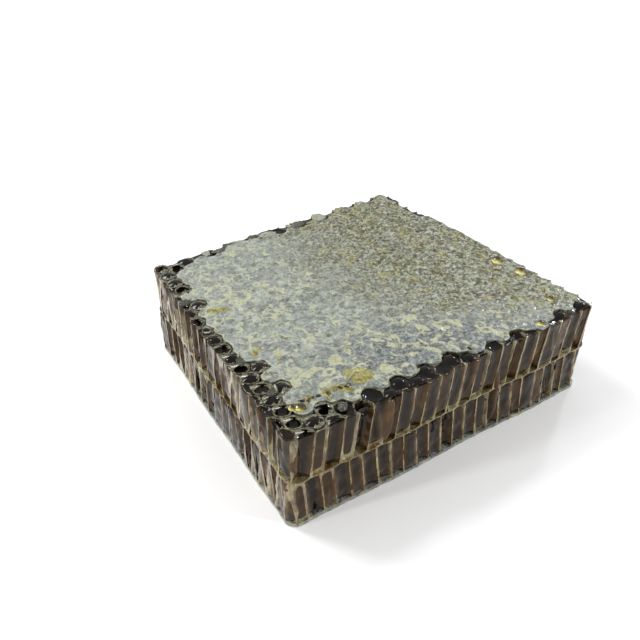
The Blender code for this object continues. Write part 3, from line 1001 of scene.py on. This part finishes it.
def make_lids(name, lids):
    """Loose lids of single cells that lie along the torn margins, thin, curved and ragged."""
    shapes = []
    for k, (x, y, length, width, turn, tilt) in enumerate(lids):
        circles = []
        for ring in range(LID_RINGS + 1):
            circle = []
            for i in range(LID_SPOKES if ring else 1):
                across, up = heading(2.0 * math.pi * i / LID_SPOKES)
                wobble = 1.0 + 0.34 * noise.noise(Vector((across * 1.7 + k, up * 1.7, k * 1.3)))
                wobble += 0.16 * noise.noise(Vector((across * 5.0, up * 5.0 + k, k * 0.7)))
                local = np.array((across * length, up * width)) * MM * ring / LID_RINGS * wobble
                curve = 0.022 / MM * (local[0] ** 2 - 0.8 * local[1] ** 2) + tilt * local[1]
                place = np.array((x, y)) * MM + turned(local, turn)
                wave = 0.1 * MM * noise.noise(Vector((place[0], place[1], 0.0)) / (1.4 * MM))
                circle.append((place[0], place[1], LID_LEVEL + curve + wave))
            circles.append(np.array(circle))
        lower = [circle - np.array((0.0, 0.0, LID_THICKNESS)) for circle in circles]
        shapes.append(shell(lower + circles[::-1]))
    return join_shapes(name, shapes)


def make_torn_rims():
    """Ragged remains of lids round the open cells of the torn left margin."""
    shapes = []
    around = 30
    half = (CELL_PITCH - WALL) / 2.0
    directions = [heading(2.0 * math.pi * k / around) for k in range(around)]
    for cell in sort_cells(UPPER)[0]:
        mouth = UPPER.centres(cell[None], WALL_RIM)
        centre = mouth + bend(at_level(mouth, WALL_RIM))
        left = smooth(-centre[:, 0], 36.0 * MM, 42.0 * MM)[0]
        if depth_inside(centre)[0] < 0.6 * MM or left < 0.1:
            continue
        seed = float(centre[0, 0] / MM)
        kept = depth_inside(centre + half * np.array(directions)) > 0.1 * MM
        kept &= np.roll(kept, 1) | np.roll(kept, -1)
        rings = [[], [], [], []]
        for direction in directions:
            wobble = noise.noise(Vector((direction[0] * 1.2 + seed, direction[1] * 1.2, seed)))
            wobble += 0.5 * noise.noise(Vector((direction[0] * 3.4, direction[1] * 3.4 + seed, seed)))
            width = left * (0.28 + 2.6 * max(0.0, wobble + 0.05)) * MM
            rise = (0.05 + 0.95 * max(0.0, wobble + 0.15)) * MM
            outer = centre[0] + direction * (half + 0.12 * MM)
            inner = centre[0] + direction * (half - width)
            level = WALL_RIM + 0.3 * MM * wobble
            rings[0].append((*outer, level - 0.2 * MM))
            rings[1].append((*outer, level + 0.12 * MM))
            rings[2].append((*inner, level + rise))
            rings[3].append((*inner, level + rise - 0.2 * MM))
        faces = []
        for i in range(around):
            j = (i + 1) % around
            for ring in range(4):
                a, b = ring * around, ((ring + 1) % 4) * around
                if kept[i] and kept[j]:
                    faces.append((a + i, a + j, b + j, b + i))
            if kept[i] and not kept[j]:
                faces.append((3 * around + i, 2 * around + i, around + i, i))
            if kept[j] and not kept[i]:
                faces.append((j, around + j, 2 * around + j, 3 * around + j))
        used, index = np.unique([i for face in faces for i in face], return_inverse=True)
        shapes.append((np.concatenate(rings)[used], index.reshape(-1, 4).tolist()))
    return join_shapes("wax_torn_rims", shapes)


def make_runs():
    """Drops of honey that have run down the cut sides."""
    shapes = []
    rings = 16
    turns = -2.0 * math.pi * np.arange(14)[:, None] / 14
    for k in range(14):
        start, ahead, outward, length = SIDES[k % 4]
        share = 0.08 + 0.84 * ((k * 0.618) % 1.0)
        radius = (0.6 + 0.4 * ((k * 0.377) % 1.0)) * MM
        bottom = (1.6 + 12.0 * ((k * 0.731) % 1.0)) * MM
        tall = (4.0 + 7.0 * ((k * 0.257) % 1.0)) * MM
        base = start + ahead * length * share
        base = base + outward * (knife_wander(base[None])[0] - 0.25 * MM)
        circles = []
        for ring in range(rings + 1):
            t = ring / rings
            if t < 0.35:
                width = radius * math.sin(math.pi * 0.5 * t / 0.35) ** 0.6
            else:
                width = radius * (0.22 + 0.78 * (1.0 - (t - 0.35) / 0.65) ** 1.6)
            middle = base + ahead * 0.5 * MM * noise.noise(Vector((t * 2.0, k * 3.3, 0.0)))
            circle = middle + ahead * np.cos(turns) * width + outward * np.sin(turns) * width * 0.85
            circles.append(at_level(middle[None] if ring in (0, rings) else circle, bottom + tall * t))
        shapes.append(shell(circles))
    return join_shapes("honey_runs", shapes)


def linear(red, green, blue):
    """A colour seen on screen, from 0 to 255, as linear light."""
    channels = np.array((red, green, blue)) / 255.0
    return np.where(channels <= 0.04045, channels / 12.92, ((channels + 0.055) / 1.055) ** 2.4)


GLOSS_LIGHT = 0.03
LIGHT_FACTOR = 1.6


def seen(red, green, blue):
    """The base colour that shows as this screen colour under the scene's light."""
    light = (linear(red, green, blue) - GLOSS_LIGHT) / LIGHT_FACTOR
    return tuple(float(part) for part in np.clip(light, 0.003, 0.9))


def new_material(name):
    """A material with nodes, its node tree and its shader."""
    material = bpy.data.materials.new(name)
    material.use_nodes = True
    tree = material.node_tree
    return material, tree, tree.nodes["Principled BSDF"]


def ramp(tree, source, stops):
    """A colour ramp over a value, from (position, colour) stops."""
    node = tree.nodes.new("ShaderNodeValToRGB")
    elements = node.color_ramp.elements
    while len(elements) < len(stops):
        elements.new(0.5)
    for element, (position, colour) in zip(elements, stops):
        element.position = position
        element.color = (*colour, 1.0)
    tree.links.new(source, node.inputs["Fac"])
    return node.outputs["Color"]


def shades(tree, source, stops):
    """A colour ramp over a value, from stops of a position and a screen colour."""
    return ramp(tree, source, [(position, seen(*colour)) for position, *colour in stops])


def spread(tree, source, low, high, start=0.0, end=1.0):
    """A value stretched from low..high to start..end, clamped."""
    node = tree.nodes.new("ShaderNodeMapRange")
    node.interpolation_type = "SMOOTHSTEP"
    tree.links.new(source, node.inputs["Value"])
    node.inputs["From Min"].default_value = low
    node.inputs["From Max"].default_value = high
    node.inputs["To Min"].default_value = start
    node.inputs["To Max"].default_value = end
    return node.outputs["Result"]


def blend(tree, share, first, second):
    """A mix of two colours, each a socket or a plain colour."""
    node = tree.nodes.new("ShaderNodeMix")
    node.data_type = "RGBA"
    colours = [socket for socket in node.inputs if socket.type == "RGBA"]
    for socket, value in zip(colours, (first, second)):
        if isinstance(value, tuple):
            socket.default_value = (*value, 1.0)
        else:
            tree.links.new(value, socket)
    tree.links.new(share, node.inputs["Factor"])
    return [socket for socket in node.outputs if socket.type == "RGBA"][0]


def calculate(tree, operation, first, second=0.5):
    """One math node on sockets or numbers."""
    node = tree.nodes.new("ShaderNodeMath")
    node.operation = operation
    for socket, value in zip(node.inputs, (first, second)):
        if isinstance(value, float):
            socket.default_value = value
        else:
            tree.links.new(value, socket)
    return node.outputs["Value"]


def times(tree, first, second):
    """The product of two values."""
    return calculate(tree, "MULTIPLY", first, second)


def object_place(tree, scale=(1.0, 1.0, 1.0), shift=(0.0, 0.0, 0.0)):
    """Object coordinates, stretched and shifted."""
    source = tree.nodes.new("ShaderNodeTexCoord").outputs["Object"]
    node = tree.nodes.new("ShaderNodeMapping")
    node.inputs["Scale"].default_value = scale
    node.inputs["Location"].default_value = shift
    tree.links.new(source, node.inputs["Vector"])
    return node.outputs["Vector"]


def mottle(tree, place, wave, detail=3.0, roughness=0.5, distortion=0.0):
    """Noise with features about one wave long."""
    node = tree.nodes.new("ShaderNodeTexNoise")
    node.inputs["Scale"].default_value = 1.0 / wave
    node.inputs["Detail"].default_value = detail
    node.inputs["Roughness"].default_value = roughness
    node.inputs["Distortion"].default_value = distortion
    tree.links.new(place, node.inputs["Vector"])
    return node.outputs["Fac"]


def stored(tree, name):
    """The three numbers kept for each point under a name."""
    node = tree.nodes.new("ShaderNodeAttribute")
    node.attribute_name = name
    split = tree.nodes.new("ShaderNodeSeparateColor")
    tree.links.new(node.outputs["Color"], split.inputs["Color"])
    return split.outputs["Red"], split.outputs["Green"], split.outputs["Blue"]


def bump(tree, shader, height, distance, strength=1.0):
    """Fine relief from a height socket."""
    node = tree.nodes.new("ShaderNodeBump")
    node.inputs["Distance"].default_value = distance
    node.inputs["Strength"].default_value = strength
    tree.links.new(height, node.inputs["Height"])
    tree.links.new(node.outputs["Normal"], shader.inputs["Normal"])


def set_gloss(shader, coat, coat_roughness, specular=0.5):
    """A clear wet coat over a surface."""
    shader.inputs["Coat Weight"].default_value = coat
    shader.inputs["Coat Roughness"].default_value = coat_roughness
    shader.inputs["Specular IOR Level"].default_value = specular


def capping_material():
    """Wet grey capping: cream marks, pale veins, olive flecks, painted bluish-white highlights, and gloss
    that varies.
    """
    material, tree, shader = new_material("capping_wax")
    place = object_place(tree)
    net, cream, wet = stored(tree, "marks")
    front, gold = stored(tree, "zones")[:2]
    grain = mottle(tree, place, 1.9 * MM, 3.0, 0.6, 0.9)
    small = mottle(tree, object_place(tree, shift=(0.1, 0.3, 0.2)), 1.05 * MM, 3.0, 0.6, 0.7)
    fine = mottle(tree, object_place(tree, shift=(0.5, 0.2, 0.1)), 0.6 * MM, 2.0)
    clouds = mottle(tree, object_place(tree, shift=(0.3, 0.1, 0.0)), 3.4 * MM, 2.0, 0.5, 0.4)
    ringed = shades(tree, grain, (
        (0.30, 96, 98, 78), (0.39, 124, 129, 121), (0.50, 152, 158, 152),
        (0.60, 188, 195, 182), (0.70, 212, 217, 196),
    ))
    # The wet zone's own olive and grey, with painted bluish-white highlights of its sparkle in the palest
    # stops.
    bumpy = shades(tree, small, (
        (0.33, 56, 53, 20), (0.42, 88, 84, 40), (0.50, 120, 119, 76),
        (0.57, 158, 159, 130), (0.66, 216, 220, 211),
    ))
    strip = shades(tree, small, (
        (0.31, 72, 77, 74), (0.42, 102, 108, 108), (0.52, 130, 137, 134),
        (0.61, 166, 174, 166), (0.71, 202, 208, 190),
    ))
    base = blend(tree, wet, ringed, bumpy)
    broad = mottle(tree, object_place(tree, shift=(0.8, 0.2, 0.5)), 13.0 * MM, 2.0, 0.5, 0.6)
    pale_areas = times(tree, spread(tree, broad, 0.44, 0.66), spread(tree, small, 0.36, 0.58))
    pale_areas = times(tree, pale_areas, spread(tree, wet, 0.0, 1.0, 0.5, 0.25))
    base = blend(tree, pale_areas, base, seen(178, 184, 178))
    base = blend(tree, front, base, strip)
    # Curls: thin wrinkles, raised a little by the bump below, with painted bluish-white glints on them.
    swirl = mottle(tree, object_place(tree, shift=(0.2, 0.6, 0.4)), 2.3 * MM, 2.0, 0.5, 2.2)
    swirl = calculate(tree, "ABSOLUTE", calculate(tree, "SUBTRACT", swirl, 0.5))
    curls_and_glints = spread(tree, swirl, 0.004, 0.04, 0.62, 0.0)
    curl_glints = times(tree, curls_and_glints, spread(tree, fine, 0.36, 0.56))
    base = blend(tree, curl_glints, base, seen(198, 204, 206))
    flecks = times(tree, spread(tree, clouds, 0.54, 0.65), spread(tree, small, 0.40, 0.56))
    flecks = times(tree, flecks, spread(tree, wet, 0.0, 1.0, 0.18, 0.75))
    base = blend(tree, flecks, base, seen(178, 168, 98))
    veins = times(tree, spread(tree, net, 0.25, 0.9), spread(tree, fine, 0.38, 0.58, 0.2, 0.7))
    base = blend(tree, veins, base, seen(190, 197, 180))
    frayed = times(tree, calculate(tree, "SUBTRACT", fine, 0.5), 0.7)
    ragged = calculate(tree, "ADD", cream, frayed)
    marks = spread(tree, ragged, 0.36, 0.50, 0.0, 0.92)
    pale = shades(tree, small, (
        (0.32, 184, 182, 138), (0.48, 206, 207, 170), (0.66, 218, 220, 192),
    ))
    base = blend(tree, marks, base, pale)
    streaks = mottle(tree, object_place(tree, shift=(0.4, 0.7, 0.2)), 1.3 * MM, 4.0, 0.65, 1.6)
    amber = shades(tree, streaks, (
        (0.32, 112, 102, 46), (0.44, 150, 142, 74), (0.54, 180, 173, 102),
        (0.66, 214, 208, 146),
    ))
    base = blend(tree, times(tree, gold, 0.94), base, amber)
    tree.links.new(base, shader.inputs["Base Color"])
    dull = spread(tree, small, 0.35, 0.68, 0.30, 0.55)
    dull = calculate(tree, "SUBTRACT", dull, times(tree, wet, 0.17))
    dull = calculate(tree, "SUBTRACT", dull, times(tree, gold, 0.22))
    tree.links.new(dull, shader.inputs["Roughness"])
    set_gloss(shader, 0.14, 0.12)
    height = calculate(tree, "ADD", grain, times(tree, small, 0.8))
    height = calculate(tree, "ADD", height, times(tree, curls_and_glints, 0.25))
    bump(tree, shader, height, 0.35 * MM, 0.9)
    return material


def wall_material():
    """Cell walls soaked with honey: amber brown on the cut sides, olive and paler at the rims."""
    material, tree, shader = new_material("cell_wax")
    place = object_place(tree)
    streaks = mottle(tree, object_place(tree, scale=(1.0, 1.0, 0.35)), 1.6 * MM, 4.0, 0.6, 0.8)
    clouds = mottle(tree, place, 6.0 * MM, 2.0, 0.5, 0.2)
    soaked = shades(tree, streaks, (
        (0.30, 86, 68, 40), (0.44, 124, 102, 62), (0.56, 156, 136, 90), (0.72, 192, 176, 132),
    ))
    dry = shades(tree, streaks, (
        (0.30, 118, 106, 70), (0.48, 162, 150, 108), (0.70, 208, 200, 162),
    ))
    rims = shades(tree, streaks, (
        (0.32, 78, 72, 50), (0.45, 118, 112, 84), (0.57, 156, 152, 124), (0.70, 200, 198, 168),
    ))
    base = blend(tree, spread(tree, clouds, 0.40, 0.60), soaked, dry)
    height = tree.nodes.new("ShaderNodeSeparateXYZ")
    tree.links.new(place, height.inputs["Vector"])
    base = blend(tree, spread(tree, height.outputs["Z"], 28.8 * MM, 30.4 * MM), base, rims)
    tree.links.new(base, shader.inputs["Base Color"])
    tree.links.new(spread(tree, streaks, 0.3, 0.7, 0.12, 0.34), shader.inputs["Roughness"])
    set_gloss(shader, 0.5, 0.06)
    bump(tree, shader, streaks, 0.3 * MM, 0.7)
    return material


def honey_material():
    """Dark honey, close to black where it is deep and amber brown where it has run thin."""
    material, tree, shader = new_material("dark_honey")
    place = object_place(tree)
    film = stored(tree, "film")[0]
    tone = mottle(tree, place, 4.0 * MM, 2.0, 0.5, 0.3)
    deep = ramp(tree, tone, (
        (0.30, (0.0034, 0.0030, 0.0024)), (0.55, (0.0062, 0.0048, 0.0034)), (0.75, (0.015, 0.0095, 0.0055)),
    ))
    thin = ramp(tree, tone, (
        (0.30, (0.046, 0.024, 0.0085)), (0.55, (0.082, 0.043, 0.0135)), (0.75, (0.130, 0.070, 0.023)),
    ))
    tree.links.new(blend(tree, film, deep, thin), shader.inputs["Base Color"])
    tree.links.new(spread(tree, tone, 0.3, 0.7, 0.03, 0.09), shader.inputs["Roughness"])
    set_gloss(shader, 0.0, 0.03, 0.2)
    bump(tree, shader, mottle(tree, place, 2.4 * MM, 1.0), 0.25 * MM, 0.5)
    return material


def gold_material(name, stops, roughness, relief):
    """Clear golden honey over wax, with painted shade on its far side and a painted caustic on its near side.
    """
    material, tree, shader = new_material(name)
    painted_light = stored(tree, "painted_light")[0]
    place = object_place(tree)
    tone = mottle(tree, place, 1.2 * MM, 3.0, 0.6, 0.8)
    clouds = times(tree, calculate(tree, "SUBTRACT", tone, 0.5), relief)
    # The painted light, painted shade to painted caustic, roughened by the tone.
    mixed = calculate(tree, "ADD", painted_light, clouds)
    tree.links.new(ramp(tree, mixed, stops), shader.inputs["Base Color"])
    tree.links.new(spread(tree, tone, 0.3, 0.7, roughness, roughness + 0.08), shader.inputs["Roughness"])
    set_gloss(shader, 0.6, 0.02, 0.3)
    bump(tree, shader, tone, 0.15 * MM, 0.4)
    return material


def scrap_material(name, dark, light, roughness):
    """Scraps of wax: speckled between two colours."""
    material, tree, shader = new_material(name)
    grain = mottle(tree, object_place(tree), 0.9 * MM, 4.0, 0.65, 0.6)
    tree.links.new(ramp(tree, grain, ((0.34, dark), (0.66, light))), shader.inputs["Base Color"])
    tree.links.new(spread(tree, grain, 0.3, 0.7, roughness, roughness + 0.15), shader.inputs["Roughness"])
    set_gloss(shader, 0.35, 0.08)
    bump(tree, shader, grain, 0.25 * MM, 0.7)
    return material


def make_camera():
    """The camera, at the photograph's viewing angle."""
    azimuth = math.radians(-32.09)
    elevation = math.radians(36.74)
    roll = math.radians(-1.37)
    place = Vector((-122.53, -156.07, 156.21)) * MM
    data = bpy.data.cameras.new("camera")
    data.sensor_width = 36.0
    data.lens = 42.67
    data.shift_x = 0.0451
    data.shift_y = 0.0431
    camera = bpy.data.objects.new("camera", data)
    turn = Matrix.Rotation(azimuth, 4, "Z") @ Matrix.Rotation(math.pi / 2.0 - elevation, 4, "X")
    turn = turn @ Matrix.Rotation(roll, 4, "Z")
    move = Vector((ORIGIN_MOVE[0], ORIGIN_MOVE[1], 0.0))
    camera.matrix_world = Matrix.Translation(place + move) @ turn
    bpy.context.scene.collection.objects.link(camera)
    bpy.context.scene.camera = camera


def make_light(name, place, size, power, colour=(1.0, 1.0, 1.0)):
    """One soft square light that looks at the piece."""
    data = bpy.data.lights.new(name, "AREA")
    data.size = size
    data.energy = power
    data.color = colour
    lamp = bpy.data.objects.new(name, data)
    lamp.location = place
    lamp.rotation_euler = (-Vector(place)).to_track_quat("-Z", "Y").to_euler()
    bpy.context.scene.collection.objects.link(lamp)


def make_stage():
    """A plain pale floor, a pale surround and soft studio light."""
    bpy.ops.mesh.primitive_plane_add(size=4.0)
    floor = bpy.context.object
    floor.name = "floor"
    material, shader = new_material("floor")[::2]
    shader.inputs["Base Color"].default_value = (0.86, 0.86, 0.86, 1.0)
    shader.inputs["Roughness"].default_value = 0.7
    floor.data.materials.append(material)
    world = bpy.data.worlds.new("surround")
    world.use_nodes = True
    world.node_tree.nodes["Background"].inputs["Color"].default_value = (1.0, 1.0, 1.0, 1.0)
    world.node_tree.nodes["Background"].inputs["Strength"].default_value = 0.62
    bpy.context.scene.world = world
    bpy.context.scene.view_settings.view_transform = "Standard"
    make_light("key", (-0.25, 0.45, 0.55), 0.25, 4.0)
    make_light("fill", (0.5, -0.3, 0.4), 0.4, 1.5)
    make_light("window", (0.52, 0.22, 0.42), 0.04, 0.75, (0.92, 0.96, 1.0))
    make_light("low_front", (0.30, -0.50, 0.24), 0.04, 1.1)
    make_light("low_left", (-0.55, 0.05, 0.24), 0.04, 1.1)


def finish_piece(piece, material, nodes, angle=40.0):
    """Give a piece its material, shading and body, and hide the imported parts that it stands in for."""
    piece.data.materials.clear()
    piece.data.materials.append(material)
    shade(piece, angle)
    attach(piece, "root")
    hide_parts(*nodes)


make_camera()
make_stage()
cell_wax = wall_material()
capping_wax = capping_material()
dark_honey = honey_material()
# The drops' ramp: painted shade in dark olive, up to a painted caustic in bright yellow.
drop_gold = gold_material("gold_honey", (
    (0.06, (0.026, 0.019, 0.003)), (0.32, (0.100, 0.076, 0.008)), (0.56, (0.30, 0.25, 0.035)),
    (0.84, (0.90, 0.86, 0.38)),
), 0.03, 0.45)
# The blisters' ramp: their own golden colour, laid along the same painted light, from painted shade to a
# painted caustic.
patch_gold = gold_material("patch_honey", (
    (0.10, seen(140, 132, 70)), (0.38, seen(160, 156, 92)), (0.60, seen(182, 180, 118)),
    (0.85, seen(206, 204, 150)),
), 0.05, 1.3)
pale_scrap = scrap_material("pale_scrap", seen(160, 164, 140), seen(218, 220, 194), 0.3)
lid_wax = scrap_material("lid_wax", seen(132, 138, 122), seen(192, 197, 176), 0.25)
soaked_wax = scrap_material("soaked_wax", seen(40, 38, 28), seen(104, 100, 78), 0.15)
torn_wax = scrap_material("torn_wax", seen(50, 44, 28), seen(152, 148, 118), 0.15)
dark_scrap = scrap_material("dark_scrap", seen(46, 40, 24), seen(92, 82, 46), 0.2)

finish_piece(make_walls(), cell_wax, ["comb_wax"])
finish_piece(make_capping(), capping_wax, ["comb_wax"], 60.0)
finish_piece(make_under_capping(), capping_wax, ["comb_wax"], 60.0)
upper_honey = make_honey("honey_upper_skin", UPPER, MIDDLE + 0.01 * MM, WALL_RIM, True)
under_honey = make_honey("honey_under_skin", UNDER, 1.0 * MM, MIDDLE - 0.01 * MM, False)
finish_piece(upper_honey, dark_honey, ["honey_upper"], 80.0)
finish_piece(under_honey, dark_honey, ["honey_under"], 80.0)
finish_piece(make_gold_drops(), drop_gold, ["comb_wax"], 80.0)
finish_piece(make_wet_patch(), patch_gold, ["comb_wax"], 80.0)
finish_piece(make_dark_bits(), dark_scrap, ["comb_wax"], 60.0)
finish_piece(make_slivers(), pale_scrap, ["comb_wax"], 60.0)
finish_piece(make_lids("wax_lids", PALE_LIDS), lid_wax, ["comb_wax"], 50.0)
finish_piece(make_lids("wax_soaked_lids", SOAKED_LIDS), soaked_wax, ["comb_wax"], 50.0)
finish_piece(make_torn_rims(), torn_wax, ["comb_wax"], 50.0)
finish_piece(make_runs(), dark_honey, ["honey_under"], 80.0)
